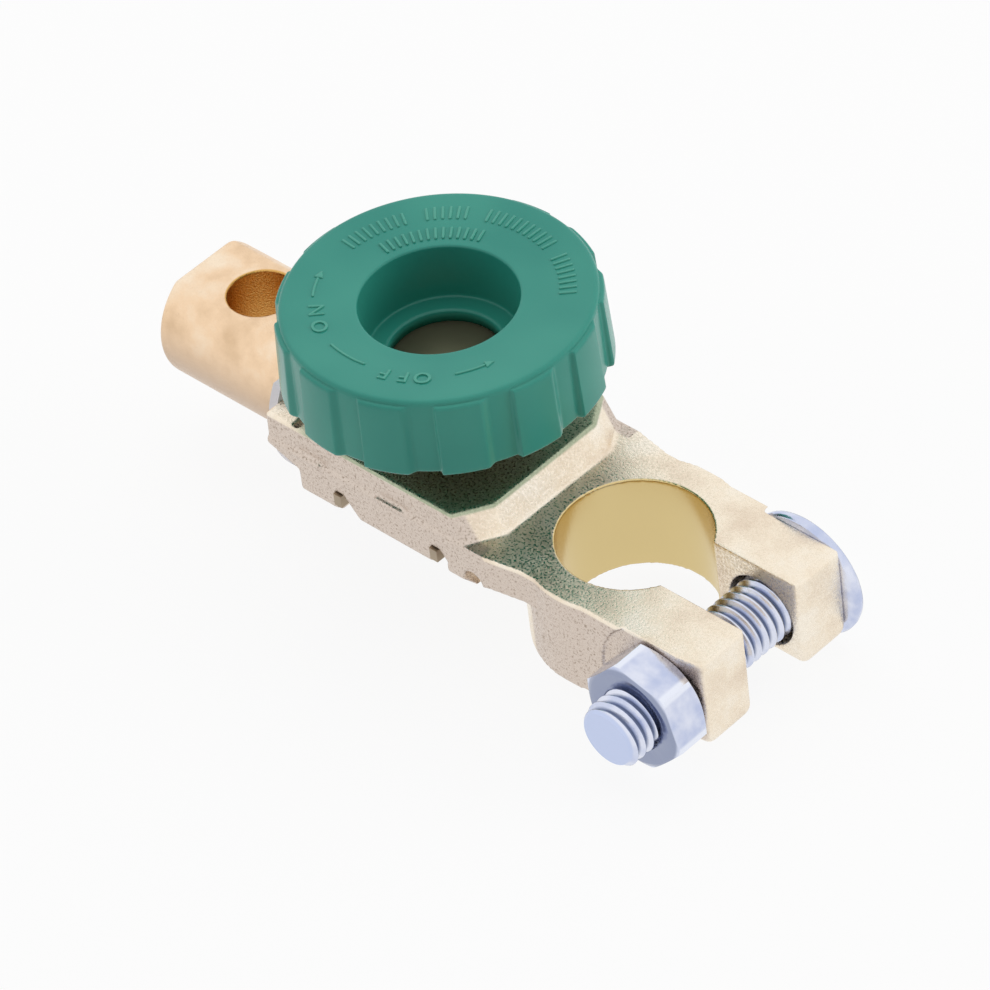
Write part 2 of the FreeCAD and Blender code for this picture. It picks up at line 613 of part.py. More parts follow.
def build_knob():
    body = new_body("knob")
    cap_radius = "(dims.knob_radius + dims.knob_cap_proud)"
    section = [("dims.knob_hole", "dims.knob_top"),
               ("dims.knob_hole", f"{HEAD_TOP} + dims.knob_floor"),
               ("dims.knob_floor_hole", f"{HEAD_TOP} + dims.knob_floor"),
               ("dims.knob_floor_hole", HEAD_UNDER),
               ("dims.knob_hub", HEAD_UNDER),
               ("dims.knob_hub", "dims.knob_top - dims.knob_roof"),
               ("dims.knob_radius - dims.knob_wall", "dims.knob_top - dims.knob_roof"),
               ("dims.knob_radius - dims.knob_wall", "dims.knob_skirt_under"),
               ("dims.knob_radius", "dims.knob_skirt_under"),
               ("dims.knob_radius", "dims.knob_top - dims.knob_cap_height"),
               (cap_radius, "dims.knob_top - dims.knob_cap_height"),
               (cap_radius, "dims.knob_top - dims.knob_edge"),
               (f"{cap_radius} - dims.knob_edge", "dims.knob_top")]
    profile = outline(body, "knob_section", "XZ_Plane", section)
    turned(body, "Revolution", "knob_form", profile, "Z_Axis")

    # Raised pads round the skirt.
    pad_sketch = new_sketch(body, "pad_outline", "XY_Plane", "dims.knob_skirt_under")
    inner = value(body, "dims.knob_radius - dims.knob_wall / 2")
    outer = value(body, "dims.knob_radius + dims.pad_proud")
    half = value(body, "dims.pad_angle / 2")
    first = FreeCAD.Rotation(FreeCAD.Vector(0, 0, 1), -half)
    last = FreeCAD.Rotation(FreeCAD.Vector(0, 0, 1), half)
    ends = [turn.multVec(FreeCAD.Vector(radius, 0, 0)) for radius in (inner, outer) for turn in (first, last)]
    pad_sketch.addGeometry(Part.LineSegment(ends[0], ends[2]))
    arc = Part.Arc(ends[2], FreeCAD.Vector(outer, 0, 0), ends[3])
    pad_sketch.addGeometry(arc)
    pad_sketch.addGeometry(Part.LineSegment(ends[3], ends[1]))
    pad_sketch.addGeometry(Part.LineSegment(ends[1], ends[0]))
    for first_edge, first_end, second_edge, second_end in ((0, 2, 1, 1), (1, 2, 2, 1), (2, 2, 3, 1), (3, 2, 0, 1)):
        pad_sketch.addConstraint(Sketcher.Constraint("Coincident", first_edge, first_end, second_edge,
                                                     second_end))
    pad_sketch.addConstraint(Sketcher.Constraint("Coincident", 1, 3, -1, 1))
    radius_index = pad_sketch.addConstraint(Sketcher.Constraint("Radius", 1, outer))
    pad_sketch.setExpression(f"Constraints[{radius_index}]", "dims.knob_radius + dims.pad_proud")
    for geometry, end, radius, side in ((0, 1, "(dims.knob_radius - dims.knob_wall / 2)", "-"),
                                        (2, 2, "(dims.knob_radius - dims.knob_wall / 2)", "")):
        place_point(body, pad_sketch, geometry, end, f"{radius} * cos(dims.pad_angle / 2)",
                    f"{side}{radius} * sin(dims.pad_angle / 2)")
    for geometry, end, side in ((0, 2, "-"), (2, 1, "")):
        expression = f"{side}(dims.knob_radius + dims.pad_proud) * sin(dims.pad_angle / 2)"
        index = pad_sketch.addConstraint(
            Sketcher.Constraint("DistanceY", -1, 1, geometry, end, value(body, expression)))
        pad_sketch.setExpression(f"Constraints[{index}]", expression)
    one_pad = pad(body, "grip_pad", pad_sketch,
                  "dims.knob_top - dims.knob_skirt_under - dims.pad_drop")
    pads = body.newObject("PartDesign::PolarPattern", "grip_pads")
    pads.Originals = [one_pad]
    pads.Axis = (origin_part(body, "Z_Axis"), [""])
    pads.Angle = 360
    pads.setExpression("Occurrences", "dims.pad_count")
    body.Tip = pads
    doc.recompute()

    # Webs between the hub and the skirt.
    web = rectangle(body, "web_outline", "XY_Plane", "dims.knob_hub - 0.3",
                    "dims.knob_radius - dims.knob_wall + 0.3", "-dims.web_thick / 2",
                    "dims.web_thick / 2", "dims.knob_top - dims.knob_roof - dims.web_height")
    one_web = pad(body, "web", web, "dims.web_height + 0.3")
    webs = body.newObject("PartDesign::PolarPattern", "webs")
    webs.Originals = [one_web]
    webs.Axis = (origin_part(body, "Z_Axis"), [""])
    webs.Angle = 360
    webs.setExpression("Occurrences", "dims.web_count")
    body.Tip = webs
    doc.recompute()

    # Hexagon pocket that holds the screw's head.
    head_hole = hexagon(body, "head_hole_outline", "XY_Plane", "dims.screw_head_flats", "0")
    head_hole.setExpression("AttachmentOffset.Base.z", HEAD_UNDER)
    pocket(body, "head_hole", head_hole, "dims.screw_head_height", backwards=True)

    pad_radius = value(body, "dims.knob_radius + dims.pad_proud")
    half_chord = value(body, "dims.knob_top - dims.knob_skirt_under") / 2

    def is_pad_side(edge):
        middle = edge.BoundBox.Center
        return (runs_along(edge, 2) and edge.BoundBox.ZLength > half_chord
                and abs((middle.x ** 2 + middle.y ** 2) ** 0.5 - pad_radius) < 0.01)

    round_edges(body, "pad_rounds", is_pad_side, "dims.pad_round")
    set_on_knob_axis(body)
    body.setExpression(".Placement.Rotation.Angle", "dims.pad_turn * 1 deg")
    return body


def build_contact_screw():
    body = new_body("contact_screw")
    head = hexagon(body, "head_outline", "XY_Plane", "dims.screw_head_flats - 2 * dims.running_gap", "0")
    head.setExpression("AttachmentOffset.Base.z", HEAD_UNDER)
    pad(body, "head", head, "dims.screw_head_height")
    shank = [("0", f"{HEAD_UNDER} + 1"), ("dims.undercut_radius", f"{HEAD_UNDER} + 1"),
             ("dims.undercut_radius", f"{WASHER_UNDER} - 0.2"), ("dims.thread_radius", f"{WASHER_UNDER} - 0.8"),
             ("dims.thread_radius", "dims.thread_end + dims.thread_chamfer"),
             ("dims.thread_radius - dims.thread_chamfer", "dims.thread_end"), ("0", "dims.thread_end")]
    profile = outline(body, "shank_section", "XZ_Plane", shank)
    turned(body, "Revolution", "shank", profile, "Z_Axis")
    set_on_knob_axis(body)
    body.setExpression(".Placement.Rotation.Angle", "dims.pad_turn * 1 deg")
    return body


def build_contact_washer():
    body = new_body("contact_washer")
    disc = circle(body, "washer_outline", "XY_Plane", "0", "0", "dims.washer_radius", WASHER_UNDER)
    pad(body, "disc", disc, "dims.washer_thick - dims.running_gap")
    bore = circle(body, "washer_bore_outline", "XY_Plane", "0", "0", "dims.washer_bore", HEAD_UNDER)
    pocket(body, "bore", bore, "dims.washer_thick + 1")
    set_on_knob_axis(body)
    return body


def set_on_bolt_axis(body):
    body.setExpression(".Placement.Base.x", "dims.bolt_place")
    body.setExpression(".Placement.Base.z", "dims.bolt_height")
    doc.recompute()


def build_clamp_bolt():
    body = new_body("clamp_bolt")

    # Half section about the Y axis: x is the radius.
    sketch = new_sketch(body, "bolt_section", "XY_Plane")
    rim_top = f"{BOLT_SEAT} + dims.bolt_head_rim"
    corners = [("0", f"-{BOLT_END}"), ("dims.bolt_radius - dims.bolt_chamfer", f"-{BOLT_END}"),
               ("dims.bolt_radius", f"-{BOLT_END} + dims.bolt_chamfer"), ("dims.bolt_radius", BOLT_SEAT),
               ("dims.bolt_head_radius", BOLT_SEAT), ("dims.bolt_head_radius", rim_top),
               ("0", f"{rim_top} + dims.bolt_head_dome")]
    points = [FreeCAD.Vector(value(body, x), value(body, y), 0) for x, y in corners]
    for index in range(5):
        sketch.addGeometry(Part.LineSegment(points[index], points[index + 1]))
    dome_radius = "((dims.bolt_head_radius ^ 2 + dims.bolt_head_dome ^ 2) / (2 * dims.bolt_head_dome))"
    radius = value(body, dome_radius)
    centre = points[6] - FreeCAD.Vector(0, radius, 0)
    middle = centre + (points[5] + points[6] - centre * 2).normalize() * radius
    sketch.addGeometry(Part.Arc(points[5], middle, points[6]))
    sketch.addGeometry(Part.LineSegment(points[6], points[0]))
    # Part.Arc may run either way round, so its ends are found by their place.
    arc = sketch.Geometry[5]
    start = 1 if arc.StartPoint.distanceToPoint(points[5]) < 1e-6 else 2
    for index in range(4):
        sketch.addConstraint(Sketcher.Constraint("Coincident", index, 2, index + 1, 1))
    sketch.addConstraint(Sketcher.Constraint("Coincident", 4, 2, 5, start))
    sketch.addConstraint(Sketcher.Constraint("Coincident", 5, 3 - start, 6, 1))
    sketch.addConstraint(Sketcher.Constraint("Coincident", 6, 2, 0, 1))
    for index in range(5):
        place_point(body, sketch, index, 1, *corners[index])
    place_point(body, sketch, 4, 2, *corners[5])
    place_point(body, sketch, 6, 1, *corners[6])
    sketch.addConstraint(Sketcher.Constraint("PointOnObject", 5, 3, -2))
    turned(body, "Revolution", "bolt_form", sketch, "Y_Axis")

    half = "(dims.neck_square / 2)"
    square = rectangle(body, "neck_square_outline", "XZ_Plane", f"-{half}", half, f"-{half}", half,
                       f"-{BOLT_SEAT}")
    pad(body, "square_neck", square, "dims.neck_long")
    set_on_bolt_axis(body)
    return body


def build_clamp_nut():
    body = new_body("clamp_nut")
    form = hexagon(body, "nut_outline", "XZ_Plane", "dims.nut_flats", "dims.nut_turn")
    form.setExpression("AttachmentOffset.Base.z", NUT_SEAT)
    pad(body, "nut_form", form, "dims.nut_height")
    bore = circle(body, "nut_bore_outline", "XZ_Plane", "0", "0", "dims.bolt_radius + dims.running_gap",
                  f"{NUT_SEAT} + dims.nut_height + 1")
    pocket(body, "nut_bore", bore, "dims.nut_height + 2")
    # Both faces are turned down at the corners.
    reach = "(dims.nut_flats / sqrt(3) + 1)"
    inner = "(dims.nut_flats / 2 * 0.97)"
    drop = f"(({reach} - {inner}) * tan(30))"
    for number, (face, way) in enumerate(((f"-{NUT_SEAT}", "-"), (f"-({NUT_SEAT} + dims.nut_height)", "+")), 1):
        back = "+" if way == "-" else "-"
        corner = outline(body, f"nut_chamfer_outline_{number}", "XY_Plane",
                         [(inner, face), (reach, f"{face} {way} {drop}"), (reach, f"{face} {back} 1"),
                          (inner, f"{face} {back} 1")])
        turned(body, "Groove", f"nut_chamfer_{number}", corner, "Y_Axis")
    set_on_bolt_axis(body)
    return body


bodies = [
    build_clamp_body(),
    build_lug_terminal(),
    build_insulator_liner(),
    build_base_insulator(),
    build_retaining_plate(),
    build_knob(),
    build_contact_screw(),
    build_contact_washer(),
    build_clamp_bolt(),
    build_clamp_nut(),
]
doc.recompute()

for item in doc.Objects:
    if "Invalid" in item.State or "Error" in item.State:
        raise RuntimeError(f"{item.Label} failed: {item.State}")
os.makedirs("parts", exist_ok=True)
for body in bodies:
    shape = body.Shape
    if shape.isNull() or not shape.isValid() or not shape.Solids:
        raise RuntimeError(f"{body.Label} has no valid solid")
    shape.exportStep(f"parts/{body.Label}.step")
    print(body.Label, "solids", len(shape.Solids), "volume", round(shape.Volume, 1))
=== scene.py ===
import json
import math

import bmesh
import bpy
from mathutils import Matrix, Vector


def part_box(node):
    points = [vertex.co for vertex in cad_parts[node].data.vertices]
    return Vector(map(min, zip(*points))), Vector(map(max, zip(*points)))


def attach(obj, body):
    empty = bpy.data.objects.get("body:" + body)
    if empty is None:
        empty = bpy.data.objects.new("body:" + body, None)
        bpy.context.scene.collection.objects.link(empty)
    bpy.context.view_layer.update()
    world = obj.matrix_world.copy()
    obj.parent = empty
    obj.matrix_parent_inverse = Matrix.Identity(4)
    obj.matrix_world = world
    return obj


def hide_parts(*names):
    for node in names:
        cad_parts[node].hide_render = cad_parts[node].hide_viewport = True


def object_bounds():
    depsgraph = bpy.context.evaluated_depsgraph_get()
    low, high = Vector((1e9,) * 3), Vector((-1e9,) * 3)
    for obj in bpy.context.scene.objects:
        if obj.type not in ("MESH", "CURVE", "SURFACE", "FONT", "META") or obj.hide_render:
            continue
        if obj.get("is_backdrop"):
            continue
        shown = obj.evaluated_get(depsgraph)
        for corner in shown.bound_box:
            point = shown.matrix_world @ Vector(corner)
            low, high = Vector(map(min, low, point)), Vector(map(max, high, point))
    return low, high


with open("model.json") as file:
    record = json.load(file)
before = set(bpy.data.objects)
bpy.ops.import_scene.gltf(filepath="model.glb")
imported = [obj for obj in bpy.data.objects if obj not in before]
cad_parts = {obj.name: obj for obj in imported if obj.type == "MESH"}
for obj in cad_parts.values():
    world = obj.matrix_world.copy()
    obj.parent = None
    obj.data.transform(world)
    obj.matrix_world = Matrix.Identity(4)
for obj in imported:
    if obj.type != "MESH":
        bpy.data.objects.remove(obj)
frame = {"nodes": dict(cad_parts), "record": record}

low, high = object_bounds()
millimetre = 0.001


def rgb(red, green, blue):
    # a colour as read from a screen, 0 to 255, made linear for the shader
    channels = []
    for value in (red, green, blue):
        part = value / 255
        channels.append(part / 12.92 if part <= 0.04045 else ((part + 0.055) / 1.055) ** 2.4)
    return (*channels, 1.0)


# helpers for the materials
def newMaterial(name):
    material = bpy.data.materials.new(name)
    material.use_nodes = True
    tree = material.node_tree
    shader = tree.nodes["Principled BSDF"]
    return material, tree, shader


def addNode(tree, kind, **inputs):
    node = tree.nodes.new(kind)
    for name, value in inputs.items():
        node.inputs[name].default_value = value
    return node


def objectNoise(tree, scale, detail=3.0, roughness=0.55):
    # noise fixed to the piece, with scale in waves per metre
    place = tree.nodes.new("ShaderNodeTexCoord")
    noise = addNode(tree, "ShaderNodeTexNoise", Scale=scale, Detail=detail, Roughness=roughness)
    tree.links.new(place.outputs["Object"], noise.inputs["Vector"])
    return noise.outputs["Fac"]


def ramp(tree, source, stops):
    node = tree.nodes.new("ShaderNodeValToRGB")
    tree.links.new(source, node.inputs["Fac"])
    elements = node.color_ramp.elements
    while len(elements) < len(stops):
        elements.new(0.5)
    for element, (place, colour) in zip(elements, stops):
        element.position = place
        element.color = colour
    return node.outputs["Color"]


def mixColours(tree, factor, first, second):
    node = tree.nodes.new("ShaderNodeMix")
    node.data_type = "RGBA"
    for socket, value in ((node.inputs[0], factor), (node.inputs[6], first), (node.inputs[7], second)):
        if isinstance(value, bpy.types.NodeSocket):
            tree.links.new(value, socket)
        else:
            socket.default_value = value
    return node.outputs[2]


def maths(tree, operation, first, second=0.0, third=0.0):
    node = tree.nodes.new("ShaderNodeMath")
    node.operation = operation
    for socket, value in zip(node.inputs, (first, second, third)):
        if isinstance(value, bpy.types.NodeSocket):
            tree.links.new(value, socket)
        else:
            socket.default_value = value
    return node.outputs[0]


def objectAxes(tree):
    place = tree.nodes.new("ShaderNodeTexCoord")
    split = tree.nodes.new("ShaderNodeSeparateXYZ")
    tree.links.new(place.outputs["Object"], split.inputs[0])
    return split.outputs["X"], split.outputs["Y"], split.outputs["Z"]


def distance(tree, across, along):
    # how far a point lies from an axis, from its two offsets
    squares = [maths(tree, "MULTIPLY", offset, offset) for offset in (across, along)]
    return maths(tree, "SQRT", maths(tree, "ADD", *squares))


def within(tree, value, start, end):
    # 0 before start and 1 past end, with a soft step between; end may be below start
    node = tree.nodes.new("ShaderNodeMapRange")
    node.interpolation_type = "SMOOTHSTEP"
    tree.links.new(value, node.inputs["Value"])
    node.inputs["From Min"].default_value = start
    node.inputs["From Max"].default_value = end
    return node.outputs["Result"]


def addBump(tree, shader, height, strength, distance):
    bump = addNode(tree, "ShaderNodeBump", Strength=strength, Distance=distance)
    tree.links.new(height, bump.inputs["Height"])
    tree.links.new(bump.outputs["Normal"], shader.inputs["Normal"])


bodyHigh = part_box("clamp_body")[1]
washerLow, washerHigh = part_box("contact_washer")
knobAxis = Vector(((washerLow[0] + washerHigh[0]) / 2, 0, 0))
castSettings = {
    "cream": rgb(246, 233, 213),
    "pale": rgb(250, 241, 226),
    "tan": rgb(232, 215, 194),
    "boreGold": rgb(218, 196, 142),
    "smoothest": 0.19,
    "roughest": 0.54,
    "spots": (0.34, 0.64),
    "boreRoughness": 0.24,
    "boreGrain": 0.2,
    "boreEdge": (0.0003, 0.0001),
    "blotch": 170,
    "grain": 3500,
    "grainDepth": 0.00004,
    # painted reflection and shade of the knob on the housing's top
    "knobReflectionShade": rgb(176, 184, 158),
    "reflectionShadeEdge": (0.0185, 0.0160),
    "reflectionShadeDepth": (0.0006, 0.0003),
    # painted shade on the upright sides
    "sideShade": rgb(214, 200, 188),
    "sideShadeSpots": rgb(176, 160, 146),
    "spotted": (0.56, 0.66),
    "sideEdge": (0.0109, 0.0114),
    "sideFade": 0.0003,
    "clampSideTop": 0.0123,
    "housingSideTop": 0.0157,
    "housingEdge": (-0.0105, -0.0125),
    "metallic": 1.0,
}


def castMetal():
    # a bright cast surface: the grain breaks up what it mirrors
    s = castSettings
    material, tree, shader = newMaterial("castMetal")
    blotch = objectNoise(tree, s["blotch"], 4)
    base = ramp(tree, blotch, [(0.3, s["tan"]), (0.5, s["cream"]), (0.68, s["pale"])])
    grain = objectNoise(tree, s["grain"], 3, 0.6)
    x, y, z = objectAxes(tree)
    boreRadius = frame["record"]["mounts"][0]["dims"]["r_mm"] * millimetre
    inBore = within(tree, distance(tree, x, y), *(boreRadius + edge for edge in s["boreEdge"]))
    # painted reflection and shade: the housing's top is painted darker and greener round the screw, under
    # the knob
    fromScrew = distance(tree, maths(tree, "ADD", x, -knobAxis.x), y)
    onTop = within(tree, z, *(bodyHigh[2] - depth for depth in s["reflectionShadeDepth"]))
    reflectionShaded = maths(tree, "MULTIPLY", within(tree, fromScrew, *s["reflectionShadeEdge"]), onTop)
    base = mixColours(tree, reflectionShaded, base, s["knobReflectionShade"])
    # painted shade: the upright sides are painted darker than the tops, and faintly spotted with the grain
    onHousing = within(tree, x, *s["housingEdge"])
    step = s["housingSideTop"] - s["clampSideTop"]
    sideTop = maths(tree, "MULTIPLY_ADD", onHousing, step, s["clampSideTop"])
    below = within(tree, maths(tree, "SUBTRACT", sideTop, z), 0.0, s["sideFade"])
    onSide = within(tree, maths(tree, "ABSOLUTE", y), *s["sideEdge"])
    onSide = maths(tree, "MULTIPLY", onSide, below)
    spotted = mixColours(tree, within(tree, grain, *s["spotted"]), s["sideShade"], s["sideShadeSpots"])
    base = mixColours(tree, onSide, base, spotted)
    colour = mixColours(tree, inBore, base, s["boreGold"])
    tree.links.new(colour, shader.inputs["Base Color"])
    shader.inputs["Metallic"].default_value = s["metallic"]
    # the skin is a fine mix of smooth and rough spots, so what it mirrors looks grainy
    spread = s["roughest"] - s["smoothest"]
    spots = maths(tree, "MULTIPLY_ADD", within(tree, grain, *s["spots"]), spread, s["smoothest"])
    fromBore = maths(tree, "SUBTRACT", s["boreRoughness"], spots)
    tree.links.new(maths(tree, "MULTIPLY_ADD", inBore, fromBore, spots), shader.inputs["Roughness"])
    relief = maths(tree, "MULTIPLY", grain, maths(tree, "MULTIPLY_ADD", inBore, s["boreGrain"] - 1.0, 1.0))
    addBump(tree, shader, relief, 1.0, s["grainDepth"])
    return material


lugSettings = {
    "salmon": rgb(244, 213, 178),
    "pale": rgb(250, 230, 204),
    "tan": rgb(224, 192, 156),
    # painted shade towards the bottom of the lug
    "low": rgb(206, 180, 154),
    "lowShadeEdge": (0.0160, 0.0090),
    "wall": rgb(220, 172, 98),
    "wallEdge": (0.0003, 0.0001),
    "blotch": 190,
    "roughness": 0.28,
    "grain": 4400,
    "grainDepth": 0.00009,
    "metallic": 1.0,
}


def lugMetal():
    s = lugSettings
    material, tree, shader = newMaterial("lugMetal")
    blotch = objectNoise(tree, s["blotch"], 4)
    base = ramp(tree, blotch, [(0.3, s["tan"]), (0.5, s["salmon"]), (0.7, s["pale"])])
    x, y, z = objectAxes(tree)
    # painted shade: the lug is painted darker towards its bottom
    base = mixColours(tree, within(tree, z, *s["lowShadeEdge"]), base, s["low"])
    hole = frame["record"]["mounts"][1]
    fromHole = distance(tree, maths(tree, "ADD", x, -hole["pos_m"][0]), y)
    holeRadius = hole["dims"]["r_mm"] * millimetre
    inHole = within(tree, fromHole, *(holeRadius + edge for edge in s["wallEdge"]))
    colour = mixColours(tree, inHole, base, s["wall"])
    tree.links.new(colour, shader.inputs["Base Color"])
    shader.inputs["Metallic"].default_value = s["metallic"]
    shader.inputs["Roughness"].default_value = s["roughness"]
    addBump(tree, shader, objectNoise(tree, s["grain"], 3, 0.6), 1.0, s["grainDepth"])
    return material


plasticSettings = {
    "green": rgb(58, 155, 138),
    "deep": rgb(46, 145, 130),
    # painted highlight: the raised marks are a lighter green than the knob
    "markHighlightGreen": rgb(82, 170, 150),
    "markHighlightDeep": rgb(74, 164, 146),
    "cloud": 60,
    "roughness": 0.26,
    "specular": 0.35,
    "grain": 1400,
    "grainStrength": 0.15,
    "grainDepth": 0.00002,
}


def greenPlastic(name, deep, green):
    s = plasticSettings
    material, tree, shader = newMaterial(name)
    colour = ramp(tree, objectNoise(tree, s["cloud"], 2), [(0.35, deep), (0.65, green)])
    tree.links.new(colour, shader.inputs["Base Color"])
    shader.inputs["Roughness"].default_value = s["roughness"]
    shader.inputs["Specular IOR Level"].default_value = s["specular"]
    addBump(tree, shader, objectNoise(tree, s["grain"], 2), s["grainStrength"], s["grainDepth"])
    return material


boltLow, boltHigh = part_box("clamp_bolt")
nutLow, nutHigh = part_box("clamp_nut")
boltAxis = ((boltLow[0] + boltHigh[0]) / 2, (boltLow[2] + boltHigh[2]) / 2)
platingSettings = {
    "zinc": rgb(224, 228, 243),
    "shade": rgb(192, 201, 229),
    # painted shade in the thread's grooves
    "groove": rgb(112, 124, 152),
    # painted shade on the end faces towards -Y
    "nutFaceShade": rgb(152, 160, 184),
    # painted highlight along the nut's corners
    "nutEdgeHighlight": rgb(234, 238, 250),
    "nutEdgeIn": 0.00015,
    "nutEdgeSoft": 0.0002,
    "boltEndShade": rgb(196, 207, 236),
    "endDepth": (0.0004, 0.0002),
    "grooveEdge": (0.0036, 0.0032),
    "grooveStart": (boltLow[1] + 0.0008, boltLow[1] + 0.0010),
    "grooveEnd": (boltHigh[1] - 0.0040, boltHigh[1] - 0.0042),
    "roughness": 0.2,
    "patches": 260,
    "grain": 1800,
    "grainStrength": 0.4,
    "grainDepth": 0.00003,
}


def zincPlating(name, grooved=False):
    s = platingSettings
    material, tree, shader = newMaterial(name)
    colour = ramp(tree, objectNoise(tree, s["patches"], 3), [(0.35, s["shade"]), (0.6, s["zinc"])])
    x, y, z = objectAxes(tree)
    radius = distance(tree, maths(tree, "ADD", x, -boltAxis[0]), maths(tree, "ADD", z, -boltAxis[1]))
    if not grooved:
        # painted highlight: the plating is painted brighter along the nut's corners
        corner = (nutHigh[2] - nutLow[2]) / 2 - s["nutEdgeIn"]
        cornerHighlight = within(tree, radius, corner, corner + s["nutEdgeSoft"])
        colour = mixColours(tree, cornerHighlight, colour, s["nutEdgeHighlight"])
    # painted shade: the end faces towards -Y are painted darker, the nut's more than the bolt's
    endPlace, endShade = (boltLow[1], s["boltEndShade"]) if grooved else (nutLow[1], s["nutFaceShade"])
    onEnd = within(tree, y, *(endPlace + depth for depth in s["endDepth"]))
    colour = mixColours(tree, onEnd, colour, endShade)
    if grooved:
        # painted shade: the thread's grooves are painted darker
        deep = within(tree, radius, *s["grooveEdge"])
        deep = maths(tree, "MULTIPLY", deep, within(tree, y, *s["grooveStart"]))
        deep = maths(tree, "MULTIPLY", deep, within(tree, y, *s["grooveEnd"]))
        colour = mixColours(tree, deep, colour, s["groove"])
    tree.links.new(colour, shader.inputs["Base Color"])
    shader.inputs["Metallic"].default_value = 1.0
    shader.inputs["Roughness"].default_value = s["roughness"]
    addBump(tree, shader, objectNoise(tree, s["grain"], 3), s["grainStrength"], s["grainDepth"])
    return material


plainSettings = {
    "mottle": 220,
    "darkest": 0.85,
}


def plainFinish(name, colour, roughness, metallic=0.0):
    s = plainSettings
    material, tree, shader = newMaterial(name)
    darker = (*[part * s["darkest"] for part in colour[:3]], 1)
    mottled = ramp(tree, objectNoise(tree, s["mottle"], 3), [(0.3, darker), (0.7, colour)])
    tree.links.new(mottled, shader.inputs["Base Color"])
    shader.inputs["Roughness"].default_value = roughness
    shader.inputs["Metallic"].default_value = metallic
    return material


castFinish = castMetal()
lugFinish = lugMetal()
plasticFinish = greenPlastic("greenPlastic", plasticSettings["deep"], plasticSettings["green"])
# painted highlight: the marks get the lighter green
markHighlightFinish = greenPlastic("greenMarksHighlight", plasticSettings["markHighlightDeep"], plasticSettings["markHighlightGreen"])
zincFinish = zincPlating("zincPlating")
threadFinish = zincPlating("zincThread", grooved=True)
insulatorFinish = plainFinish("whiteInsulator", rgb(254, 250, 255), 0.45)
nibFinish = plainFinish("plateSteel", rgb(176, 160, 138), 0.4, 0.9)
contactFinish = plainFinish("contactMetal", rgb(142, 134, 110), 0.45, 0.6)
print("materials made")


# helpers for the meshes
def finishPiece(name, work, material, smooth=True):
    mesh = bpy.data.meshes.new(name)
    work.to_mesh(mesh)
    work.free()
    for polygon in mesh.polygons:
        polygon.use_smooth = smooth
    mesh.materials.append(material)
    piece = bpy.data.objects.new(name, mesh)
    bpy.context.scene.collection.objects.link(piece)
    return piece


def chain(work, points):
    # a run of joined edges through (radius, height) points in the XZ plane
    verts = [work.verts.new((r, 0, z)) for r, z in points]
    edges = [work.edges.new(pair) for pair in zip(verts, verts[1:])]
    return verts + edges


def spun(work, points, steps):
    # a closed section turned about the Z axis
    outline = chain(work, points + points[:1])
    bmesh.ops.spin(work, geom=outline, cent=(0, 0, 0), axis=(0, 0, 1), angle=math.tau, steps=steps,
                   use_merge=True)
    bmesh.ops.remove_doubles(work, verts=work.verts, dist=1e-7)
    bmesh.ops.recalc_face_normals(work, faces=work.faces)


def between(first, last, count):
    # points along a straight run, both ends included
    return [tuple(a + (b - a) * i / count for a, b in zip(first, last)) for i in range(count + 1)]


def roundTurn(centre, radius, start, end, count):
    # points on an arc, with its angles in degrees
    points = []
    for i in range(count + 1):
        angle = math.radians(start + (end - start) * i / count)
        points.append((centre[0] + radius * math.cos(angle), centre[1] + radius * math.sin(angle)))
    return points


def softStep(value, start, end):
    part = min(max((value - start) / (end - start), 0), 1)
    return part * part * (3 - 2 * part)


def mergedCopy(node, name, material):
    # a CAD mesh is loose triangles, so its copy is merged before it is worked on
    work = bmesh.new()
    work.from_mesh(frame["nodes"][node].data)
    bmesh.ops.remove_doubles(work, verts=work.verts, dist=2e-6)
    return finishPiece(name, work, material)


# the two castings: the CAD shape with a soft skin
castPieces = {
    "clamp_body": {"name": "castBody", "voxel": 0.00018, "smooths": 6, "kept": 0.45, "slot": "cast_metal"},
    "lug_terminal": {"name": "castLug", "voxel": 0.00018, "smooths": 6, "kept": 0.5, "slot": "cast_lug"},
}
for node, s in castPieces.items():
    piece = mergedCopy(node, s["name"], castFinish if node == "clamp_body" else lugFinish)
    remesh = piece.modifiers.new("softSkin", "REMESH")
    remesh.mode = "VOXEL"
    remesh.voxel_size = s["voxel"]
    remesh.use_smooth_shade = True
    smooth = piece.modifiers.new("castEdges", "SMOOTH")
    smooth.factor = 0.5
    smooth.iterations = s["smooths"]
    thin = piece.modifiers.new("fewerFaces", "DECIMATE")
    thin.ratio = s["kept"]
    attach(piece, "housing")
    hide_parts(node)
print("cast pieces made")


# the moulded knob, with its grip pads
knobLow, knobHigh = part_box("knob")
knobSettings = {
    "top": knobHigh[2],
    "skirtUnder": knobLow[2] + 0.0024,
    "hubUnder": knobLow[2],
    "radius": 0.0179,
    "capRadius": 0.01765,
    "dish": 0.0005,
    "edge": 0.0005,
    "shoulder": 0.01766,
    "shoulderTop": knobHigh[2] - 0.00002,
    "shoulderUnder": knobHigh[2] - 0.0008,
    "padCorner": 3.5,
    "skirtLean": 0.0002,
    "padLean": 0.00025,
    "holeDraft": 0.0001,
    "rimStep": 0.00001,
    "smallEdge": 0.0002,
    "fillet": 0.0003,
    "corner": 0.0006,
    "insideStep": 0.001,
    "skirtEdge": 0.0005,
    "hole": 0.00886,
    "holeEdge": 0.0003,
    "floor": knobHigh[2] - 0.0072,
    "floorHole": 0.0064,
    "headTop": knobLow[2] + 0.0031,
    "headRoom": 0.0099,
    "hub": 0.0116,
    "roofUnder": knobHigh[2] - 0.003,
    "skirtInside": 0.0154,
    "pads": 13,
    "padTurn": -12.0,
    "padHalf": 8.75,
    "padSharpSide": 0.35,
    "padSoftSide": 1.8,
    "padProud": 0.0007,
    "stepsPerPad": 60,
    "webs": 6,
    "webThick": 0.0014,
    "webTall": 0.005,
    "webDrop": 0.0024,
    "webLap": 0.0008,
}


